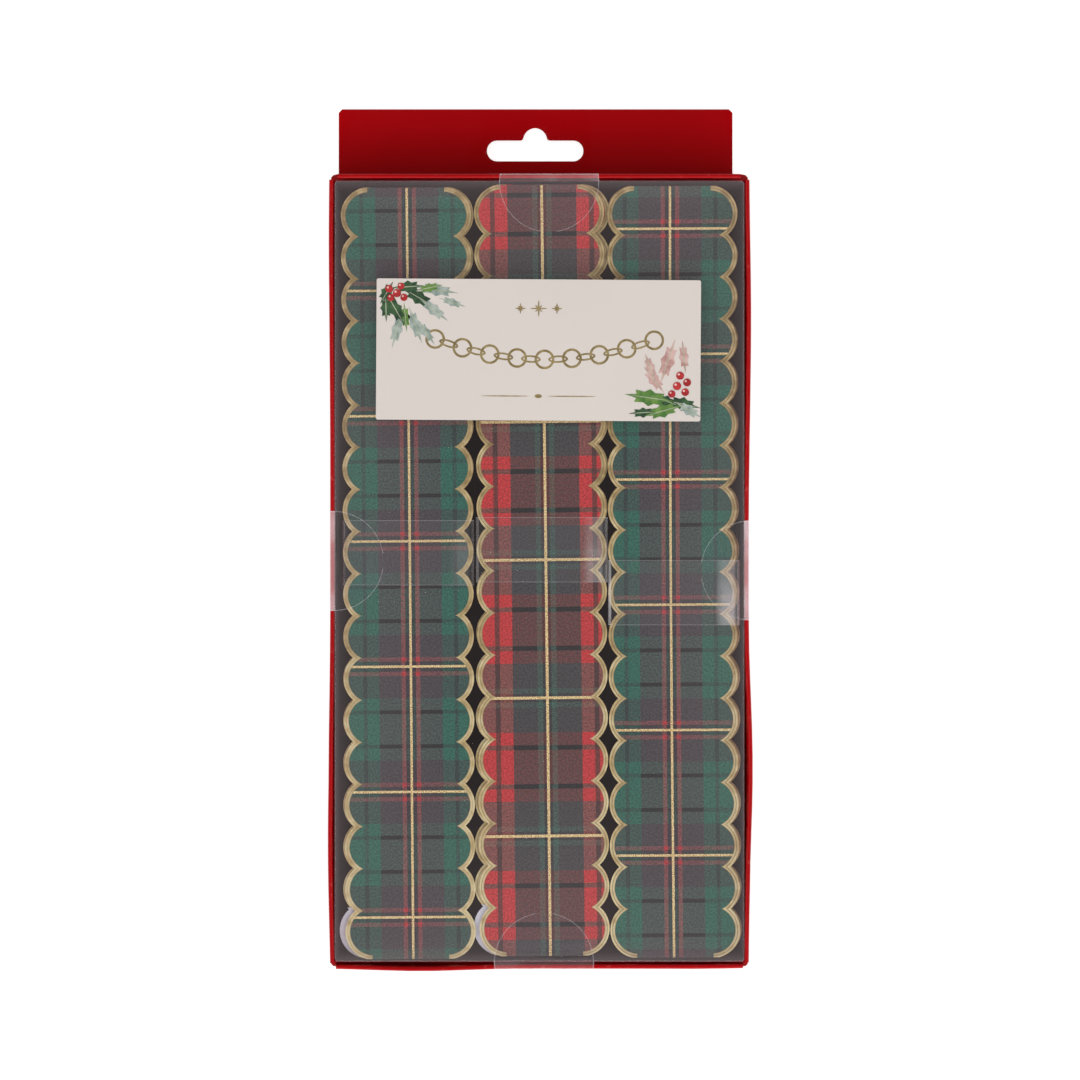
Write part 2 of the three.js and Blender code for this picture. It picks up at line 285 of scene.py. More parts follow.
def buildSky():
    world = bpy.data.worlds.new("world")
    world.use_nodes = True
    tree = world.node_tree
    background = tree.nodes["Background"]
    coords = tree.nodes.new("ShaderNodeTexCoord")
    split = tree.nodes.new("ShaderNodeSeparateXYZ")
    ramp = tree.nodes.new("ShaderNodeValToRGB")
    dim = tree.nodes.new("ShaderNodeMapRange")
    tree.links.new(coords.outputs["Generated"], split.inputs[0])
    tree.links.new(split.outputs["Z"], ramp.inputs["Fac"])
    tree.links.new(split.outputs["Y"], dim.inputs["Value"])
    tree.links.new(dim.outputs["Result"], background.inputs["Strength"])
    tree.links.new(ramp.outputs["Color"], background.inputs["Color"])
    for name, value in (("From Min", -studio["skyTurn"]), ("From Max", studio["skyTurn"]),
                        ("To Min", studio["skyFront"]), ("To Max", studio["skyBehind"])):
        dim.inputs[name].default_value = value
    ends = ramp.color_ramp.elements
    ends[0].position, ends[0].color = studio["skyLowTo"], gray(studio["skyLow"])
    ends[1].position, ends[1].color = studio["skyHighFrom"], gray(studio["skyHigh"])
    bpy.context.scene.world = world


def buildLamp(name, place, size, power):
    light = bpy.data.lights.new(name, "AREA")
    light.shape = "RECTANGLE"
    light.size, light.size_y = size
    light.energy = power
    lamp = bpy.data.objects.new(name, light)
    lamp.location = place
    lamp.rotation_euler = (-Vector(place)).to_track_quat("-Z", "Y").to_euler()
    bpy.context.collection.objects.link(lamp)
    if name == studio["unseenLamp"]:
        lamp.visible_glossy = lamp.visible_camera = False


def buildFloor():
    letGo()
    bpy.ops.mesh.primitive_grid_add(x_subdivisions=2, y_subdivisions=2, size=studio["floorSize"],
                                    location=(0, 0, -studio["floorDrop"]))
    floor = settle(bpy.context.object, "floor")
    paper = Nodes("floorPaper")
    grain = paper.noise(studio["floorGrain"], paper.place())
    color = paper.mix(grain, gray(studio["floorColor"]), gray(studio["floorShade"]))
    floor.data.materials.append(paper.surface({
        "Base Color": color, "Roughness": 0.9, "Emission Color": (1, 1, 1, 1),
        "Emission Strength": studio["floorGlow"],
    }))


buildCamera()
buildSky()
for name, (place, size, power) in studio["lamps"].items():
    buildLamp(name, place, size, power)
buildFloor()
print("studio ready")


# sizes in mm; the tab is painted darker from its head down to its foot, a painted shade where the top wall shades it
redTone = {
    "dark": (0.34, 0.0006, 0.0022), "light": (0.39, 0.0010, 0.0034), "cloud": 18.0, "fleck": 900.0,
    "rimFleckColor": (0.60, 0.10, 0.10, 1), "rimFleckFrom": 16.6, "rimFleckShare": 0.25,
    "tabShadeColor": (0.12, 0.0002, 0.0008, 1), "tabFrom": 120.4, "tabFoot": 121.0, "tabHead": 137.0, "tabShadeShare": 0.55,
}
# the tray's inside: painted near black on the floor for the deep shade there, red in the margin under the walls
boardTone = {
    "dark": (0.006, 0.004, 0.004), "light": (0.016, 0.010, 0.009), "margin": (0.36, 0.001, 0.003, 1),
    "middleX": -0.27, "middleY": -10.2, "reachX": 67.2, "reachY": 128.2,
}


def redCard():
    look = Nodes("redCard")
    where = look.place()
    cloud = look.noise(redTone["cloud"], where, 3.0)
    fleck = look.noise(redTone["fleck"], where, 2.0)
    color = look.ramp(cloud, [(0.3, redTone["dark"]), (0.7, redTone["light"])])
    apart = look.split(where)
    # painted shade: the tab darkens towards its foot, where the top wall stands over it
    upTab = look.add("MapRange", {0: apart["Y"], 1: redTone["tabFoot"] * mm, 2: redTone["tabHead"] * mm}).outputs[0]
    onTab = look.math("GREATER_THAN", apart["Y"], redTone["tabFrom"] * mm)
    paintedTabShade = look.math("MULTIPLY", onTab, look.math("SUBTRACT", 1.0, upTab))
    color = look.mix(look.math("MULTIPLY", paintedTabShade, redTone["tabShadeShare"]), color, redTone["tabShadeColor"])
    # pinkish flecks along the tops of the walls
    nearEdge = look.math("GREATER_THAN", apart["Z"], redTone["rimFleckFrom"] * mm)
    rimFlecks = look.math("MULTIPLY", nearEdge, look.math("GREATER_THAN", look.noise(420.0, where, 4.0), 0.66))
    color = look.mix(look.math("MULTIPLY", rimFlecks, redTone["rimFleckShare"]), color, redTone["rimFleckColor"])
    return look.surface({
        "Base Color": color, "Roughness": look.math("MULTIPLY_ADD", fleck, 0.12, 0.16),
        "Normal": look.bump(fleck, 0.12, 0.00008), "IOR": 1.45, "Specular IOR Level": 0.15,
    })


def shadedBoard():
    look = Nodes("shadedBoard")
    where = look.place()
    fiber = look.noise(700.0, look.stretched(where, (1, 0.25, 1)), 4.0)
    # painted shade: the floor is painted near black, standing in for the deep shade over the card under and between
    # the strips
    color = look.ramp(fiber, [(0.3, boardTone["dark"]), (0.7, boardTone["light"])])
    # the margin under the walls keeps the red of the folded-in sheet
    apart = look.split(where)
    sideways = look.math("ABSOLUTE", look.math("SUBTRACT", apart["X"], boardTone["middleX"] * mm))
    upDown = look.math("ABSOLUTE", look.math("SUBTRACT", apart["Y"], boardTone["middleY"] * mm))
    beyond = look.math("MAXIMUM", look.math("GREATER_THAN", sideways, boardTone["reachX"] * mm),
                       look.math("GREATER_THAN", upDown, boardTone["reachY"] * mm))
    color = look.mix(beyond, color, boardTone["margin"])
    return look.surface({"Base Color": color, "Roughness": 0.9, "Normal": look.bump(fiber, 0.3, 0.0001)})


def sheetOfFilm(look, share, edge, tint, color, rough, bent):
    # light passes straight through but for the share that the surface sends back
    passed = look.add("BsdfTransparent", {"Color": tint})
    mirror = look.add("BsdfPrincipled", {
        "Base Color": color, "Metallic": look.math("DIVIDE", edge, share), "Roughness": rough,
        "Normal": bent, "IOR": 1.5,
    })
    return look.finish(look.add("MixShader", {0: share, 1: passed.outputs[0], 2: mirror.outputs[0]}).outputs[0])


def clearFilm(name, tint, milk, edgeLine, glare):
    # a cut edge shows as a pale line, and the painted glare comes in patches
    look = Nodes(name)
    where = look.place()
    scratch = look.noise(1.0, look.stretched(where, (900, 60, 900)), 2.0)
    bent = look.bump(look.noise(22.0, where, 1.0), 0.12, 0.002)
    edge = look.math("MINIMUM", look.add("Fresnel", {"IOR": 1.30, "Normal": bent}).outputs[0], 0.12)
    place = look.split(where)
    patches = look.ramp(look.noise(60.0, where, 3.0), [(0.40, gray(0.55)), (0.68, gray(1.5))])
    marks = look.math("ADD", edgeLine(look, place), look.math("MULTIPLY", glare(look, place), patches))
    share = look.math("ADD", edge, look.math("ADD", marks, milk))
    rough = look.math("MULTIPLY_ADD", scratch, 0.12, 0.03)
    return sheetOfFilm(look, share, edge, (*tint, 1), (0.88, 0.86, 0.88, 1), rough, bent)


rawEdge = fibrous("rawEdge", 2400.0, (0.52, 0.38, 0.29), (0.70, 0.56, 0.46), 0.95, 0.4)
card = {"red": redCard(), "board": shadedBoard(), "edge": rawEdge}
print("card materials ready")


# the tray is one sheet of card: a back, four rolled walls and a two-layer hang tab; sizes in mm

tray = {
    "left": -69.05, "right": 68.5, "bottom": -140.5, "top": 120.3,
    "cornerCut": 1.9, "card": 0.45, "wallTop": 17.1, "roll": 0.70, "innerFoot": 0.75,
    "tabLeft": -66.3, "tabRight": 63.2, "tabTop": 141.75, "tabFold": 0.58, "tabCorner": 1.2,
    "topWallRight": 65.6,
    "slotMiddle": -1.55, "slotLength": 32.0, "slotBottom": 124.6, "slotTop": 131.4,
    "humpRadius": 4.1, "humpEase": 0.75, "slotSlip": 0.3, "foldRound": 0.45,
}
# how far each wall's top edge leans out, in even steps from its lower or left end
lean = {
    "left": [0.0, 0.5, 0.8, 0.62, 0.42, 0.12, 0.0, 0.0, 0.0, 0.05, 0.22, 0.38, 0.5, 0.35],
    "right": [0.0, 0.3, 0.75, 1.35, 1.1, 0.3, 0.0, 0.0, 0.15, 0.45, 0.75, 0.8, 0.5, 0.25],
    "bottom": [0.45, 0.9, 1.25, 0.8, 0.4, 0.4, 0.4, 0.42, 0.45, 0.2],
}


def rollWall(side, along, place, sign):
    # raises the picked floor edges as a wall, rolls the card over at the top and brings it down inside
    roll, top = tray["roll"] * mm, tray["wallTop"] * mm
    pull(z=top - roll - (0 if side != "top" else 2 * tray["tabFold"] * mm))
    middle = [0.0, 0.0, top - roll]
    middle[1 - along] = place - sign * roll
    axis = [0.0, 0.0, 0.0]
    axis[along] = 1.0
    turn = -math.pi if (sign < 0) == (along == 1) else math.pi
    bpy.ops.mesh.spin(steps=8, angle=turn, center=middle, axis=axis)
    pull(z=-(top - roll - tray["innerFoot"] * mm))


def buildTray():
    left, right, bottom, top = (tray[k] * mm for k in ("left", "right", "bottom", "top"))
    letGo()
    bpy.ops.mesh.primitive_grid_add(x_subdivisions=16, y_subdivisions=30, size=1, location=(0, 0, 0))
    piece = bpy.context.object
    edit(piece)
    bpy.ops.transform.resize(value=(right - left, top - bottom, 1))
    bpy.ops.transform.translate(value=((left + right) / 2, (top + bottom) / 2, 0))
    pick("VERT", lambda p: min(p.x - left, right - p.x) < closeBy and min(p.y - bottom, top - p.y) < closeBy)
    bpy.ops.mesh.bevel(affect="VERTICES", offset=tray["cornerCut"] * mm, segments=3)
    tabLeft, tabRight = tray["tabLeft"] * mm, tray["tabRight"] * mm
    cut((tabLeft, 0, 0), (1, 0, 0))
    cut((tabRight, 0, 0), (1, 0, 0))

    # side and bottom walls
    pick("EDGE", lambda p: abs(p.x - left) < closeBy)
    rollWall("left", 1, left, -1)
    pick("EDGE", lambda p: abs(p.x - right) < closeBy and p.z < closeBy)
    rollWall("right", 1, right, 1)
    pick("EDGE", lambda p: abs(p.y - bottom) < closeBy and p.z < closeBy)
    rollWall("bottom", 0, bottom, -1)

    # hang tab: out, over and back on itself, then up as the top wall
    fold, tabTop = tray["tabFold"] * mm, tray["tabTop"] * mm
    pick("EDGE", lambda p: abs(p.y - top) < closeBy and p.z < closeBy
         and tabLeft - closeBy < p.x < tabRight + closeBy)
    pull(y=(tabTop - fold - top) * 0.5)
    pull(y=(tabTop - fold - top) * 0.5)
    bpy.ops.mesh.spin(steps=5, angle=-math.pi, center=(0, tabTop - fold, fold), axis=(1, 0, 0))
    pull(y=-(tabTop - fold - top))
    rollWall("top", 0, top, 1)
    pick("EDGE", lambda p: abs(p.x - tabRight) < closeBy and p.z > 2 * fold - closeBy
         and top - 3 * tray["roll"] * mm < p.y < top + closeBy)
    pull(x=(tray["topWallRight"] - tray["tabRight"]) * mm)

    # soften the folds at the foot of each wall
    def atFold(p):
        onSide = min(abs(p.x - left), abs(p.x - right)) < closeBy and p.z < closeBy
        onEnd = abs(p.y - bottom) < closeBy and p.z < closeBy
        onTab = abs(p.y - top) < closeBy and abs(p.z - 2 * fold) < closeBy
        return onSide or onEnd or onTab
    pick("EDGE", atFold)
    bpy.ops.mesh.bevel(affect="EDGES", offset=tray["foldRound"] * mm, segments=3)
    bpy.ops.mesh.select_all(action="SELECT")
    bpy.ops.mesh.remove_doubles(threshold=closeBy)
    letGo()
    faceOut(piece, (0, 0, 0), (0, 0, -1))

    # the walls' bulges, by a lattice whose upper points lean out
    columns, rows = len(lean["bottom"]), len(lean["left"])
    bpy.ops.object.add(type="LATTICE", location=((left + right) / 2, (top + bottom) / 2, tray["wallTop"] * mm / 2))
    cage = bpy.context.object
    cage.scale = (right - left, top - bottom, tray["wallTop"] * mm)
    cage.data.points_u, cage.data.points_v, cage.data.points_w = columns, rows, 2
    cage.data.interpolation_type_u = cage.data.interpolation_type_v = "KEY_CARDINAL"
    cage.data.interpolation_type_w = "KEY_LINEAR"
    for index, point in enumerate(cage.data.points):
        column, row, level = index % columns, (index // columns) % rows, index // (columns * rows)
        if level == 0:
            continue
        if column < 2:
            point.co_deform.x -= lean["left"][row] * mm / cage.scale.x
        if column > columns - 3:
            point.co_deform.x += lean["right"][row] * mm / cage.scale.x
        if row < 2:
            point.co_deform.y -= lean["bottom"][column] * mm / cage.scale.y
    bendBy(piece, cage)

    for name in ("red", "board", "edge"):
        piece.data.materials.append(card[name])
    modify(piece, "SOLIDIFY", thickness=tray["card"] * mm, offset=-1, use_even_offset=True,
           material_offset=1, material_offset_rim=2)
    print("tray folded:", len(piece.data.polygons), "faces")
    return piece


def slotCutter(name, low, high, slip):
    # a round-ended slot with a round hump, its inner corners eased
    radius = (tray["slotTop"] - tray["slotBottom"]) / 2
    middle, reach = (tray["slotTop"] + tray["slotBottom"]) / 2, tray["slotLength"] / 2
    letGo()
    bpy.ops.mesh.primitive_cube_add(size=1, location=(0, 0, 0))
    slab = bpy.context.object
    edit(slab)
    bpy.ops.transform.resize(value=(2 * reach * mm, 2 * radius * mm, (high - low) * mm))
    pick("EDGE", lambda p: abs(abs(p.x) - reach * mm) < closeBy)
    keepUpright()
    bpy.ops.mesh.bevel(affect="EDGES", offset=(radius - 0.02) * mm, segments=12)
    letGo()
    bpy.ops.mesh.primitive_cylinder_add(vertices=48, radius=tray["humpRadius"] * mm, depth=(high - low) * mm,
                                        location=(0, radius * mm, 0))
    hump = settle(bpy.context.object, name + "Hump")
    modify(slab, "BOOLEAN", operation="UNION", solver="EXACT", object=hump)
    bpy.data.objects.remove(hump)
    edit(slab)
    bpy.ops.mesh.remove_doubles(threshold=closeBy)
    atX = tray["humpRadius"] * mm
    pick("EDGE", lambda p: abs(abs(p.x) - atX) < 0.02 * mm and abs(p.y - radius * mm) < 0.02 * mm)
    bpy.ops.mesh.bevel(affect="EDGES", offset=tray["humpEase"] * mm, segments=4)
    letGo()
    slab.data.materials.append(card["edge"])
    slab.location = ((tray["slotMiddle"] + slip) * mm, middle * mm, (low + high) / 2 * mm)
    return settle(slab, name)


def cutSlot(piece):
    halfway = tray["tabFold"]
    for name, low, high, slip in (("slotLow", -1.0, halfway, -tray["slotSlip"]), ("slotHigh", halfway, 3.0, 0.0)):
        carve(piece, slotCutter(name, low, high, slip))


def trimCorners(piece):
    # takes the points off the tab's two top corners
    side = tray["tabCorner"] * math.sqrt(2) * mm
    for x in (tray["tabLeft"], tray["tabRight"]):
        letGo()
        bpy.ops.mesh.primitive_cube_add(size=1, location=(0, 0, 0))
        block = bpy.context.object
        edit(block)
        bpy.ops.transform.resize(value=(side, side, 6 * mm))
        bpy.ops.transform.rotate(value=math.pi / 4, orient_axis="Z", center_override=(0, 0, 0))
        letGo()
        block.data.materials.append(card["edge"])
        block.location = (x * mm, tray["tabTop"] * mm, tray["tabFold"] * mm)
        carve(piece, settle(block, "cornerTrim"))


trayPiece = buildTray()
cutSlot(trayPiece)
trimCorners(trayPiece)
settle(trayPiece, "foldedTray")
smooth(trayPiece, 40)
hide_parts("card_tray")
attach(trayPiece, "root")
print("tray done:", len(trayPiece.data.polygons), "faces")


# the scalloped strips: one is modelled flat and copied up each stack; sizes in mm, turns in degrees

strip = {
    "lobe": 9.2, "lobeOut": 12.2, "pitch": 13.85, "endCut": 126.7, "innerLobes": 16,
    "card": 0.55, "rungs": 5, "firstBottom": 1.0, "rise": 1.18, "levels": 11, "looseOnTop": 3,
    "sheet": 0.6, "uvSpan": 300.0, "endLift": 0.35, "flatUpTo": 6, "fullLiftAfter": 4,
    "slipX": 0.08, "slipY": 0.3, "slipTurn": 0.07, "evenFan": 0.45, "lowerNarrow": 0.4,
}
stacks = {
    "greenLeft": {"node": "green_left", "slot": "green_plaid_card", "x": -43.4, "y": -11.0, "turn": 0.38,
                  "lowerTurn": 0.42, "bow": 0.0, "narrow": 0.0, "fan": -0.36},
    "redMiddle": {"node": "red_middle", "slot": "red_plaid_card", "x": 0.5, "y": -10.0, "turn": 0.45,
                  "lowerTurn": 0.30, "bow": 0.0, "narrow": 0.006, "fan": -0.62},
    "greenRight": {"node": "green_right", "slot": "green_plaid_card", "x": 44.0, "y": -10.5, "turn": 0.23,
                   "lowerTurn": 0.26, "bow": -0.5, "narrow": 0.022, "fan": 0.10},
}
# threads run outwards from the middle of the sett: where each begins, as a share of half the repeat, its colour
# up the strip, its colour across it, and a mark, because some threads change colour where they cross
bright, thin, charcoal, fineAcross, fineUp = 1.0, 0.8, 0.6, 0.3, 0.36
plaids = {
    "green": {"half": 20.6, "goldLine": 0.019, "glow": (0.028, 0.145, 0.104), "threads": [
        (0.0, (0.026, 0.024, 0.030), (0.026, 0.024, 0.030), 0),
        (0.08, (0.34, 0.085, 0.085), (0.33, 0.080, 0.084), thin),
        (0.147, (0.074, 0.064, 0.072), (0.060, 0.054, 0.064), charcoal),
        (0.502, (0.034, 0.126, 0.094), (0.048, 0.122, 0.098), bright),
        (0.692, (0.028, 0.080, 0.066), (0.024, 0.055, 0.050), fineAcross),
        (0.754, (0.034, 0.126, 0.094), (0.048, 0.122, 0.098), bright),
    ]},
    "red": {"half": 22.7, "goldLine": 0.020, "glow": (0.60, 0.042, 0.046), "threads": [
        (0.0, (0.028, 0.028, 0.032), (0.028, 0.028, 0.032), 0),
        (0.062, (0.060, 0.130, 0.105), (0.060, 0.130, 0.105), 0),
        (0.1375, (0.064, 0.062, 0.068), (0.062, 0.060, 0.064), charcoal),
        (0.498, (0.38, 0.095, 0.078), (0.23, 0.042, 0.036), bright),
        (0.680, (0.15, 0.036, 0.036), (0.036, 0.036, 0.036), fineAcross),
        (0.7525, (0.38, 0.095, 0.078), (0.23, 0.042, 0.036), bright),
    ]},
}
# each stack's print offset, and how strong the painted dark reflection in its foil is
prints = {
    "greenLeft": {"plaid": "green", "x": 0.55, "y": 10.6, "turn": 0.12, "darkReflectionShare": 0.25},
    "redMiddle": {"plaid": "red", "x": 1.36, "y": 3.5, "turn": 0.215, "darkReflectionShare": 0.55},
    "greenRight": {"plaid": "green", "x": -0.62, "y": -10.76, "turn": 0.08, "darkReflectionShare": 0.65},
}


# the foil follows the lobes: it is what lies beyond a circle a little smaller than each lobe
foil = {
    "inner": 7.65, "from": 0.4, "darkReflection": 8.42, "darkReflectionHalf": 0.11, "darkReflectionColor": (0.10, 0.075, 0.04, 1),
    "patch": 0.22, "paintedSheenSlope": -0.0013, "lastLobe": 8.0,
    # the foil's tones follow a painted sheen; the rim ramp is a painted highlight on the outer edge and painted
    # shade on the inner one
    "tones": [(0.28, (0.46, 0.32, 0.14)), (0.50, (0.74, 0.55, 0.27)), (0.72, (0.98, 0.80, 0.46))],
    "rim": [(0.0, gray(0.65)), (0.25, gray(1.0)), (0.72, gray(0.95)), (0.9, gray(1.20))],
}
weave = {
    "scale": 1.5, "fine": 1.7, "wander": 0.08,
    "over": [(0.36, gray(0.20)), (0.64, gray(0.66))], "flecks": [(0.34, gray(0.50)), (0.66, gray(1.02))],
    "beads": [(0.40, (0.46, 0.27, 0.09)), (0.60, (1.0, 0.80, 0.45))],
}


def wovenColor(look, sett, printed, inMm, fine):
    across = look.split(printed)
    wander = look.math("MULTIPLY_ADD", look.noise(3.0, inMm), weave["wander"], -weave["wander"] / 2)
    threads, marks, golds = [], [], []
    for axis, shade in (("X", 1), ("Y", 2)):
        fromLine = look.math("PINGPONG", look.math("ADD", across[axis], wander), sett["half"])
        share = look.math("DIVIDE", fromLine, sett["half"])
        stops = []
        for thread in sett["threads"]:
            mark = fineUp if shade == 1 and thread[3] == fineAcross else thread[3]
            stops.append((thread[0], (*thread[shade], mark)))
        ramp = look.rampNode(share, stops, "CONSTANT")
        threads.append(ramp.outputs["Color"])
        marks.append(ramp.outputs["Alpha"])
        golds.append(look.math("LESS_THAN", share, sett["goldLine"]))

    over = look.ramp(look.noise(weave["scale"], inMm, 2.0, 0.65), weave["over"])
    color = look.mix(over, threads[0], threads[1])
    meeting = look.math("MULTIPLY", *marks)
    color = look.mix(look.math("GREATER_THAN", meeting, 0.95), color, (*sett["glow"], 1))
    for product, slack, amount, shade in (
            (thin * thin, 0.02, 1.0, (0.50, 0.040, 0.050, 1)),
            (charcoal * fineAcross, 0.015, 0.8, (0.012, 0.012, 0.013, 1)),
            (charcoal * fineUp, 0.015, 0.3, (0.012, 0.016, 0.016, 1))):
        here = look.math("COMPARE", meeting, product, slack)
        color = look.mix(look.math("MULTIPLY", here, amount), color, shade)
    color = look.mix(1.0, color, look.ramp(fine, weave["flecks"]), "MULTIPLY")
    goldLine = look.math("MAXIMUM", *golds)
    return look.mix(goldLine, color, look.ramp(look.noise(2.6, inMm), weave["beads"])), goldLine


def foilEdge(look, inMm, darkReflectionShare):
    flat = look.split(inMm)
    u = look.math("ABSOLUTE", flat["X"])
    v = look.math("ABSOLUTE", flat["Y"])
    lobeNumber = look.math("MINIMUM", look.math("FLOOR", look.math("DIVIDE", v, strip["pitch"])), foil["lastLobe"])
    middle = look.math("MULTIPLY", look.math("ADD", lobeNumber, 0.5), strip["pitch"])
    along = look.math("SUBTRACT", v, middle)
    out = look.math("SUBTRACT", u, strip["lobeOut"])
    reach = look.math("SQRT", look.math("ADD", look.math("POWER", out, 2.0), look.math("MULTIPLY", along, along)))
    there = look.math("MULTIPLY", look.math("GREATER_THAN", out, foil["from"]),
                      look.math("GREATER_THAN", reach, foil["inner"]))
    # painted sheen: brighter towards the strip's foot, where the foil meets more light
    sheen = look.math("MULTIPLY_ADD", flat["Y"], foil["paintedSheenSlope"], look.noise(foil["patch"], inMm, 2.0))
    wide = strip["lobe"] - foil["inner"]
    share = look.math("DIVIDE", look.math("SUBTRACT", reach, foil["inner"]), wide)
    color = look.mix(1.0, look.ramp(sheen, foil["tones"]), look.ramp(share, foil["rim"]), "MULTIPLY")
    # painted reflection: a dark line down the middle of the foil
    darkReflection = look.math("COMPARE", reach, foil["darkReflection"], foil["darkReflectionHalf"])
    return there, look.mix(look.math("MULTIPLY", darkReflection, darkReflectionShare), color, foil["darkReflectionColor"])


def plaidCard(name, plaid, x, y, turn, darkReflectionShare):
    look = Nodes(name)
    cutPlace = look.add("VectorMath", {0: look.add("UVMap", uv_map="cut").outputs[0], 1: (0.5, 0.5, 0)},
                        operation="SUBTRACT").outputs[0]
    inMm = look.add("VectorMath", {0: cutPlace, "Scale": strip["uvSpan"]}, operation="SCALE").outputs[0]
    printed = look.add("Mapping", {"Vector": inMm, "Location": (x, y, 0), "Rotation": (0, 0, math.radians(turn))},
                       vector_type="TEXTURE").outputs[0]
    fine = look.noise(weave["fine"], inMm, 1.0)
    woven, goldLine = wovenColor(look, plaids[plaid], printed, inMm, fine)
    there, foilColor = foilEdge(look, inMm, darkReflectionShare)
    shine = look.math("MAXIMUM", look.math("MULTIPLY", goldLine, 0.35), look.math("MULTIPLY", there, 0.55))
    height = look.math("ADD", look.math("MULTIPLY", fine, 0.5), look.math("MULTIPLY", there, 0.6))
    return look.surface({
        "Base Color": look.mix(there, woven, foilColor), "Metallic": shine,
        "Roughness": look.mix(there, gray(0.52), gray(0.36)),
        "Normal": look.bump(height, 0.15, 0.0001), "Specular IOR Level": 0.35,
    })


def lobeArc(middle, low, high):
    letGo()
    out = strip["lobeOut"] * mm
    bpy.ops.mesh.primitive_circle_add(vertices=48, radius=strip["lobe"] * mm, location=(out, middle * mm, 0))
    arc = settle(bpy.context.object, "lobeArc")
    edit(arc)
    cut((0, high * mm, 0), (0, 1, 0), clear=True)
    cut((0, low * mm, 0), (0, -1, 0), clear=True)
    cut((out + 1.8 * mm, 0, 0), (-1, 0, 0), clear=True)
    letGo()
    return arc


def flatStrip():
    pitch, count = strip["pitch"], strip["innerLobes"]
    first = -(count - 1) / 2 * pitch
    row = lobeArc(first, first - pitch / 2, first + pitch / 2)
    modify(row, "ARRAY", count=count, use_relative_offset=False, use_constant_offset=True,
           constant_offset_displace=(0, pitch * mm, 0), use_merge_vertices=True, merge_threshold=closeBy)
    inner, outer = count / 2 * pitch, (count + 1) / 2 * pitch
    lowEnd = lobeArc(-outer, -strip["endCut"], -inner)
    highEnd = lobeArc(outer, inner, strip["endCut"])
    piece = joinAll([row, lowEnd, highEnd], "flatStrip")
    edit(piece)
    bpy.ops.mesh.remove_doubles(threshold=closeBy)
    letGo()
    modify(piece, "MIRROR", use_mirror_merge=False)
    edit(piece)
    bpy.ops.mesh.bridge_edge_loops(number_cuts=strip["rungs"], interpolation="LINEAR")
    letGo()
    faceOut(piece, (0, 0, 0), (0, 0, 1))
    layer = piece.data.uv_layers.new(name="cut")
    for loop in piece.data.loops:
        corner = piece.data.vertices[loop.vertex_index].co
        layer.data[loop.index].uv = (corner.x / mm / strip["uvSpan"] + 0.5, corner.y / mm / strip["uvSpan"] + 0.5)
    piece.data.materials.append(None)
    piece.data.materials.append(paperStock)
    modify(piece, "SOLIDIFY", thickness=strip["card"] * mm, offset=-1, material_offset=1, material_offset_rim=1)
    return piece


def shapeStrip(piece, lift, bow, narrow):
    # a flat strip keeps a little curl, and its band draws its middle in and to one side
    bpy.ops.object.add(type="LATTICE")
    cage = bpy.context.object
    cage.scale = (60 * mm, 260 * mm, 20 * mm)
    cage.data.points_u, cage.data.points_v, cage.data.points_w = 2, 6, 2
    for index, point in enumerate(cage.data.points):
        row = (index // 2) % 6
        inward = (0.0, 0.7, 1.0, 1.0, 0.7, 0.0)[row]
        point.co_deform.x = point.co_deform.x * (1 - narrow * inward) + bow * inward * mm / cage.scale.x
        if row in (0, 5):
            point.co_deform.z += lift * mm / cage.scale.z
    bendBy(piece, cage)


paperStock = fibrous("paperCore", 1500.0, (0.60, 0.57, 0.52), (0.76, 0.74, 0.70), 0.9, 0.3)
master = flatStrip()
print("strip modelled:", len(master.data.polygons), "faces")
for name, stack in stacks.items():
    printCard = plaidCard(name + "Card", **prints[name])
    lower = []
    for level in range(strip["levels"]):
        onTop = level == strip["levels"] - 1
        leaf = copyOf(master, name + "Strip%02d" % (level + 1))
        leaf.data.materials[0] = printCard
        if level >= strip["levels"] - strip["looseOnTop"]:
            lift = strip["endLift"] * (level - strip["flatUpTo"]) / strip["fullLiftAfter"]
            shapeStrip(leaf, lift, stack["bow"], stack["narrow"] * (1 if onTop else strip["lowerNarrow"]))
        top = strip["firstBottom"] + strip["rise"] * level + strip["sheet"]
        if onTop:
            turnPiece(leaf, stack["turn"], stack["x"] * mm, stack["y"] * mm, top * mm)
        else:
            x = stack["x"] + strip["slipX"] * math.sin(2.4 * level)
            y = stack["y"] + strip["slipY"] * abs(math.sin(1.7 * level))
            turn = stack["lowerTurn"] + strip["slipTurn"] * math.sin(1.1 * level + 0.5)
            turn += stack["fan"] * (1 if level % 2 else strip["evenFan"])
            turnPiece(leaf, turn, x * mm, y * mm, top * mm)
        node = stack["node"] + "_strip_%02d" % (level + 1)
        if level < strip["levels"] - strip["looseOnTop"]:
            lower.append((leaf, node))
            continue
        smooth(leaf, 30)
        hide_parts(node)
        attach(leaf, "root")
    pile = joinAll([leaf for leaf, node in lower], name + "LowerStrips")
    smooth(pile, 30)
    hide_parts(*[node for leaf, node in lower])
    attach(pile, "root")
print("strips stacked")


# the clear lid, in mm

lid = {
    "left": -67.6, "right": 67.05, "bottom": -138.55, "top": 118.1, "rim": 0.9, "face": 17.5,
    "cornerRadius": 1.2, "topFold": 0.4, "sheet": 0.3,
}
# the lid's haze and painted reflection, in metres and as shares: its own haze, what a cloud adds, the painted
# reflection at its edges and the painted glint on its upright sides
hazeAndReflection = {
    "halfX": 0.0675, "halfY": 0.1285, "middleY": -0.0102, "own": 0.007, "cloud": 0.006, "edge": 0.045, "side": 0.16,
    "reflectionToEdge": [(0.45, gray(0.0)), (0.93, gray(0.28)), (0.975, gray(0.5)), (0.995, gray(1.0))],
}


def letLightThrough(thing):
    # clear film is seen, but throws no shade on what lies under it
    thing.visible_shadow = thing.visible_diffuse = thing.visible_glossy = False


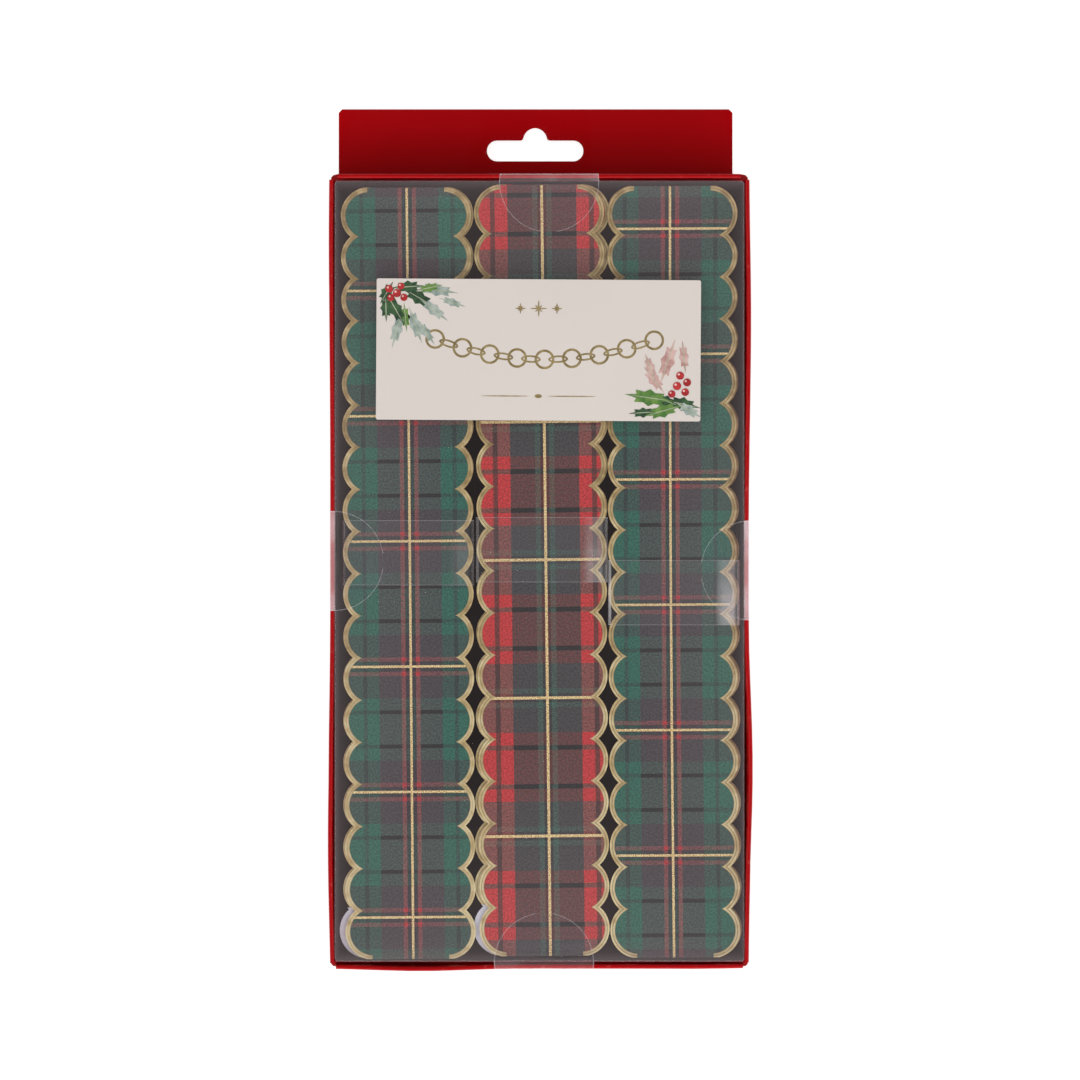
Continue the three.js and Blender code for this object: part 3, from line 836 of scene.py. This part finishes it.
def buildLid():
    left, right, bottom, top = (lid[k] * mm for k in ("left", "right", "bottom", "top"))
    rim, face = lid["rim"] * mm, lid["face"] * mm
    letGo()
    bpy.ops.mesh.primitive_cube_add(size=1, location=(0, 0, 0))
    piece = bpy.context.object
    edit(piece)
    bpy.ops.transform.resize(value=(right - left, top - bottom, face - rim))
    bpy.ops.transform.translate(value=((left + right) / 2, (bottom + top) / 2, (rim + face) / 2))
    pick("FACE", lambda middle, normal: normal.z < -0.9)
    bpy.ops.mesh.delete(type="ONLY_FACE")
    pick("EDGE", lambda p: True)
    keepUpright()
    bpy.ops.mesh.bevel(affect="EDGES", offset=lid["cornerRadius"] * mm, segments=5)
    pick("EDGE", lambda p: abs(p.z - face) < closeBy)
    bpy.ops.mesh.bevel(affect="EDGES", offset=lid["topFold"] * mm, segments=4)
    letGo()
    faceOut(piece, (0, 0, face), (0, 0, 1))
    modify(piece, "SOLIDIFY", thickness=lid["sheet"] * mm, offset=-1, use_even_offset=True)
    piece.data.materials.append(lidSheet())
    settle(piece, "clearLid")
    smooth(piece, 30)
    return piece


def lidSheet():
    look = Nodes("lidSheet")
    where = look.place()
    apart = look.split(where)
    fromMiddleX = look.math("ABSOLUTE", look.math("DIVIDE", apart["X"], hazeAndReflection["halfX"]))
    fromMiddleY = look.math("SUBTRACT", apart["Y"], hazeAndReflection["middleY"])
    fromMiddleY = look.math("ABSOLUTE", look.math("DIVIDE", fromMiddleY, hazeAndReflection["halfY"]))
    # painted reflection: the share sent back grows towards the lid's edges
    paintedEdgeReflection = look.ramp(look.math("MAXIMUM", fromMiddleX, fromMiddleY), hazeAndReflection["reflectionToEdge"])
    own = look.math("MULTIPLY_ADD", look.noise(14.0, where, 2.0), hazeAndReflection["cloud"], hazeAndReflection["own"])
    milk = look.math("MULTIPLY_ADD", paintedEdgeReflection, hazeAndReflection["edge"], own)
    # painted glint: the upright sides send back more, for the pale lines at the folds
    upward = look.math("ABSOLUTE", look.split(look.place("Normal"))["Z"])
    milk = look.math("MULTIPLY_ADD", look.math("SUBTRACT", 1.0, upward), hazeAndReflection["side"], milk)
    bent = look.bump(look.noise(9.0, where, 0.0), 0.08, 0.002)
    scratch = look.noise(1.0, look.stretched(where, (700, 90, 700)), 2.0)
    rough = look.math("MULTIPLY_ADD", scratch, 0.10, 0.03)
    edge = look.math("MINIMUM", look.add("Fresnel", {"IOR": 1.30, "Normal": bent}).outputs[0], 0.10)
    share = look.math("ADD", edge, milk)
    # the pink mirror colour is a painted mauve tint in the reflection
    return sheetOfFilm(look, share, edge, (0.97, 0.97, 0.97, 1), (0.92, 0.75, 0.77, 1), rough, bent)


lidPiece = buildLid()
letLightThrough(lidPiece)
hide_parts("clear_lid")
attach(lidPiece, "root")
print("lid done")


def giveLook(node, material, seeThrough=False):
    thing = bpy.data.objects[node]
    if seeThrough:
        letLightThrough(thing)
    for number in range(len(thing.material_slots)):
        thing.material_slots[number].material = material


# sizes in mm; a line is what a cut edge sends back, milk what the film does, and glare a painted reflection where
# the film bends over an edge
films = {
    "bandHalfLength": 10.7, "bandHalfWidth": 21.7, "bandLine": 0.07, "bandGlare": 0.11, "bandMilk": 0.010,
    "bandTint": (0.97, 0.97, 0.97), "leftEdge": 1.0, "leftShare": 0.7,
    "acrossBand": [(0.62, gray(0.0)), (0.74, gray(0.8)), (0.90, gray(1.0)), (0.94, gray(0.15)), (0.995, gray(0.9))],
    "sealRadius": 16.4, "sealLine": 0.16, "sealMilk": 0.008, "sealTint": (0.98, 0.97, 0.98),
    "sealTop": 17.6, "lineWide": 0.22,
}
# each band's middle, and how much glare it has
bands = {
    "green_left_band": (-43.4, -4.2, 0.25), "red_middle_band": (0.5, -3.2, 0.8),
    "green_right_band": (44.0, -17.3, 1.7),
}
# each seal: the axis it reaches out along, the one it lies along, its side, its middle on both, and its glare
seals = {
    "seal_left": ("X", "Y", -1, -67.8, -6.9, 0.16), "seal_right": ("X", "Y", 1, 69.05, -10.0, 0.22),
    "seal_top": ("Y", "X", 1, 117.5, 2.9, 0.07), "seal_bottom": ("Y", "X", -1, -138.85, 1.2, 0.03),
}


def away(look, place, axis, middle):
    return look.math("ABSOLUTE", look.math("SUBTRACT", look.math("DIVIDE", place[axis], mm), middle))


def bandFilm(name, x, y, strength):
    def cutEdge(look, place):
        off = look.math("SUBTRACT", away(look, place, "Y", y), films["bandHalfLength"])
        return look.math("MULTIPLY", look.math("GREATER_THAN", off, -films["lineWide"]), films["bandLine"])

    # painted glare: the band sends back more near its sides, where it bends over the strips
    def glare(look, place):
        right = look.math("SUBTRACT", look.math("DIVIDE", place["X"], mm), x)
        onRight = look.ramp(look.math("DIVIDE", right, films["bandHalfWidth"]), films["acrossBand"])
        left = look.math("MULTIPLY", right, -1.0)
        onLeft = look.math("GREATER_THAN", left, films["bandHalfWidth"] - films["leftEdge"])
        both = look.math("MULTIPLY_ADD", onLeft, films["leftShare"], onRight)
        return look.math("MULTIPLY", both, films["bandGlare"] * strength)
    return clearFilm(name + "Film", films["bandTint"], films["bandMilk"], cutEdge, glare)


def sealFilm(name, outAxis, alongAxis, side, outMiddle, alongMiddle, glareShare):
    lidEdge = lid[name.removeprefix("seal_")]

    def outward(look, place):
        return look.math("MULTIPLY", look.math("DIVIDE", place[outAxis], mm), side)

    def cutEdge(look, place):
        # the distance from the seal's middle, measured over the bend and down the wall
        out = look.math("SUBTRACT", outward(look, place), outMiddle * side)
        down = look.math("SUBTRACT", films["sealTop"], look.math("DIVIDE", place["Z"], mm))
        reach = look.math("ADD", out, down)
        along = away(look, place, alongAxis, alongMiddle)
        squares = look.math("ADD", look.math("MULTIPLY", reach, reach), look.math("MULTIPLY", along, along))
        beyond = look.math("GREATER_THAN", look.math("SQRT", squares), films["sealRadius"] - films["lineWide"])
        return look.math("MULTIPLY", beyond, films["sealLine"])

    # painted glare: the seal sends back more where it reaches past the lid onto the wall
    def glare(look, place):
        pastLid = look.math("GREATER_THAN", outward(look, place), lidEdge * side - 0.1)
        return look.math("MULTIPLY", pastLid, glareShare)
    return clearFilm(name + "Film", films["sealTint"], films["sealMilk"], cutEdge, glare)


for name, values in bands.items():
    giveLook(name, bandFilm(name, *values), True)
for name, values in seals.items():
    giveLook(name, sealFilm(name, *values), True)


liners = {"paper": 0.15, "length": 16.5, "shiftX": -1.9, "shiftY": 0.5, "top": 12.57}


def linerEnd(name, stack):
    # the end of a scalloped outline, on thin release paper
    piece = copyOf(master, name)
    edit(piece)
    bpy.ops.mesh.bisect(plane_co=(0, (liners["length"] - strip["endCut"]) * mm, 0), plane_no=(0, 1, 0),
                        clear_outer=True, use_fill=True, threshold=closeBy)
    bpy.ops.mesh.select_all(action="SELECT")
    bpy.ops.transform.resize(value=(1, 1, liners["paper"] / strip["card"]), center_override=(0, 0, 0))
    letGo()
    turnPiece(piece, stack["turn"], (stack["x"] + liners["shiftX"]) * mm, (stack["y"] + liners["shiftY"]) * mm,
              liners["top"] * mm)
    piece.data.materials.clear()
    piece.data.materials.append(liner)
    smooth(piece, 30)
    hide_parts(stack["node"] + "_liner")
    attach(piece, "root")


def labelStock():
    look = Nodes("labelStock")
    where = look.place()
    grain = look.noise(900.0, where, 4.0)
    color = look.mix(look.noise(25.0, where, 2.0), (0.65, 0.585, 0.54, 1), (0.69, 0.63, 0.58, 1))
    return look.surface({
        "Base Color": color, "Roughness": look.math("MULTIPLY_ADD", grain, 0.15, 0.40),
        "Normal": look.bump(grain, 0.12, 0.0001),
    })


liner = fibrous("linerPaper", 600.0, (0.58, 0.56, 0.64), (0.68, 0.66, 0.72), 0.35, 0.1)
linerEnd("greenLeftLiner", stacks["greenLeft"])
linerEnd("redMiddleLiner", stacks["redMiddle"])
bpy.data.objects.remove(master)
giveLook("label", labelStock())
print("films and papers done")


# what is printed on the label, in mm: holly in two corners and a gold chain of rings

labelPrint = {
    "x": -0.6, "y": 62.45, "turn": -0.35, "top": 17.62, "layer": 0.012, "ink": 0.01,
    "swagFrom": -34.0, "swagTo": 38.0, "swagRings": 17, "swagSag": 6.5, "swagY": 3.4,
    "ringRadius": 3.25, "ringWide": 0.78, "ringFlat": 0.38, "starY": 13.6, "starWide": 0.5, "ruleY": -15.2,
}


def printInk(name, dark, light, metal=0.0, rough=0.5):
    return fibrous(name, 420.0, dark, light, rough, 0.1, 0.00005, metal, 0.15)


inks = {
    "darkLeaf": printInk("darkLeaf", (0.012, 0.040, 0.016), (0.045, 0.11, 0.040)),
    "midLeaf": printInk("midLeaf", (0.06, 0.16, 0.03), (0.16, 0.28, 0.06)),
    "paleLeaf": printInk("paleLeaf", (0.20, 0.26, 0.23), (0.42, 0.47, 0.42)),
    "roseLeaf": printInk("roseLeaf", (0.42, 0.22, 0.20), (0.62, 0.42, 0.38)),
    "berry": printInk("berry", (0.30, 0.008, 0.012), (0.50, 0.030, 0.030)),
    "berryLight": printInk("berryLight", (0.70, 0.40, 0.36), (0.80, 0.55, 0.50)),
    "vein": printInk("vein", (0.30, 0.34, 0.22), (0.45, 0.48, 0.34)),
    "gold": printInk("gold", (0.30, 0.22, 0.09), (0.50, 0.38, 0.18), 0.45, 0.32),
}


leafSpines = 8


def hollyLeaf(length, width):
    # an oval whose margin is drawn in between its spines, with pointed ends
    letGo()
    bpy.ops.mesh.primitive_circle_add(vertices=leafSpines * 4, radius=1, fill_type="TRIFAN")
    leaf = bpy.context.object
    step = 2 * math.pi / (leafSpines * 4)

    def between(p, wanted):
        if p.length < 0.1:
            return False
        return round(math.atan2(p.y, p.x) / step) % 4 in wanted
    edit(leaf)
    pick("VERT", lambda p: between(p, (2,)))
    bpy.ops.transform.resize(value=(0.68, 0.68, 1), center_override=(0, 0, 0))
    pick("VERT", lambda p: between(p, (1, 3)))
    bpy.ops.transform.resize(value=(0.80, 0.80, 1), center_override=(0, 0, 0))
    pick("VERT", lambda p: abs(p.x) > 0.97)
    bpy.ops.transform.resize(value=(1.22, 1, 1), center_override=(0, 0, 0))
    bpy.ops.mesh.select_all(action="SELECT")
    bpy.ops.transform.resize(value=(length / 2 * mm, width / 2 * mm, 1), center_override=(0, 0, 0))
    letGo()
    return leaf


def roundSpot(radius):
    letGo()
    bpy.ops.mesh.primitive_circle_add(vertices=28, radius=radius * mm, fill_type="TRIFAN")
    return bpy.context.object


def sliver(length, width):
    letGo()
    bpy.ops.mesh.primitive_circle_add(vertices=12, radius=1, fill_type="TRIFAN")
    line = bpy.context.object
    edit(line)
    bpy.ops.transform.resize(value=(length / 2 * mm, width / 2 * mm, 1))
    letGo()
    return line


def printOn(shape, ink, x, y, turn, layer):
    # x and y are measured from the label's middle
    height = labelPrint["top"] + labelPrint["layer"] * (1 + layer)
    tilt = math.radians(labelPrint["turn"])
    atX = labelPrint["x"] + x * math.cos(tilt) - y * math.sin(tilt)
    atY = labelPrint["y"] + x * math.sin(tilt) + y * math.cos(tilt)
    turnPiece(shape, turn + labelPrint["turn"], atX * mm, atY * mm, height * mm)
    shape.data.materials.clear()
    shape.data.materials.append(inks[ink])
    faceOut(shape, (0, 0, 1), (0, 0, 1))
    modify(shape, "SOLIDIFY", thickness=labelPrint["ink"] * mm, offset=-1)
    return shape


def sprig(leaves, berries):
    parts = []
    for number, (ink, x, y, turn, length, width) in enumerate(leaves):
        layer = 2 * (number % 5)
        parts.append(printOn(hollyLeaf(length, width), ink, x, y, turn, layer))
        parts.append(printOn(sliver(length * 0.95, 0.28), "vein", x, y, turn, layer + 1))
    for x, y, radius in berries:
        parts.append(printOn(roundSpot(radius), "berry", x, y, 0, 11))
        parts.append(printOn(roundSpot(radius * 0.28), "berryLight", x - radius * 0.35, y + radius * 0.35, 0, 12))
    return parts


upperLeaves = [
    ("paleLeaf", -33.5, 19.5, -8, 12.0, 4.2), ("paleLeaf", -40.5, 8.0, -70, 11.0, 4.0),
    ("paleLeaf", -46.5, 6.5, -105, 10.5, 3.8), ("paleLeaf", -34.5, 13.0, -38, 10.0, 3.8),
    ("darkLeaf", -47.0, 13.0, -60, 9.5, 4.6), ("darkLeaf", -39.5, 17.0, -30, 10.5, 4.8),
    ("darkLeaf", -43.0, 20.5, 4, 9.0, 4.2), ("darkLeaf", -50.0, 18.5, 60, 7.0, 4.2),
    ("darkLeaf", -50.2, 13.5, -88, 7.5, 3.8), ("midLeaf", -36.0, 20.2, 12, 7.5, 3.0),
    ("paleLeaf", -28.5, 15.5, -18, 8.0, 2.8), ("midLeaf", -43.8, 10.5, -84, 8.0, 3.2),
    ("paleLeaf", -36.8, 5.5, -56, 8.0, 2.8),
]
upperBerries = [(-49.2, 19.8, 1.25), (-46.6, 18.4, 1.35), (-48.6, 16.9, 1.2), (-45.3, 20.7, 1.1), (-44.3, 17.0, 1.2)]
lowerLeaves = [
    ("roseLeaf", 42.5, -3.5, 72, 13.0, 5.0), ("roseLeaf", 38.0, -9.5, 128, 9.0, 4.0),
    ("paleLeaf", 49.5, -19.5, -30, 8.0, 3.8), ("midLeaf", 36.5, -15.5, 172, 13.5, 5.6),
    ("midLeaf", 41.0, -19.8, 196, 11.0, 4.6), ("darkLeaf", 47.5, -17.5, -12, 10.0, 4.8),
    ("darkLeaf", 42.0, -16.5, 160, 8.0, 3.8), ("roseLeaf", 47.8, -2.0, 96, 9.0, 3.4),
    ("darkLeaf", 34.5, -20.4, 184, 8.0, 3.4), ("roseLeaf", 36.8, -5.5, 112, 8.0, 3.0),
]
lowerBerries = [(46.6, -8.2, 1.3), (48.9, -10.4, 1.3), (45.6, -11.6, 1.35), (48.3, -13.6, 1.25), (43.9, -14.2, 1.2)]

holly = joinAll(sprig(upperLeaves, upperBerries) + sprig(lowerLeaves, lowerBerries), "labelHolly")
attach(holly, "root")


def chainRing(wide):
    letGo()
    bpy.ops.mesh.primitive_circle_add(vertices=32, radius=labelPrint["ringRadius"] * mm, fill_type="NGON")
    ring = bpy.context.object
    edit(ring)
    if not wide:
        bpy.ops.transform.resize(value=(1, labelPrint["ringFlat"], 1))
    bpy.ops.mesh.inset(thickness=labelPrint["ringWide"] * mm * (1 if wide else 0.75), depth=0)
    bpy.ops.mesh.delete(type="FACE")
    letGo()
    return ring


goldParts = []
count = labelPrint["swagRings"]
for number in range(count):
    share = number / (count - 1)
    x = labelPrint["swagFrom"] + (labelPrint["swagTo"] - labelPrint["swagFrom"]) * share
    y = labelPrint["swagY"] - labelPrint["swagSag"] * (1 - (2 * share - 1) ** 2)
    rise = labelPrint["swagSag"] * 4 * (2 * share - 1)
    slope = math.degrees(math.atan2(rise, labelPrint["swagTo"] - labelPrint["swagFrom"]))
    goldParts.append(printOn(chainRing(number % 2 == 0), "gold", x, y, slope, number % 2))
for x, size in ((-6.0, 0.8), (0.0, 1.25), (6.0, 0.8)):
    for turn, reach in ((0, 4.4), (90, 4.4), (45, 2.6), (135, 2.6)):
        ray = sliver(reach * size, labelPrint["starWide"])
        goldParts.append(printOn(ray, "gold", x, labelPrint["starY"], turn, 2 + turn // 45))
for length, width, x, layer in ((16.0, 0.34, -11.0, 2), (16.0, 0.34, 11.0, 2), (2.4, 1.3, 0.0, 3)):
    goldParts.append(printOn(sliver(length, width), "gold", x, labelPrint["ruleY"], 0, layer))
goldPrint = joinAll(goldParts, "labelGold")
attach(goldPrint, "root")
print("label printed")
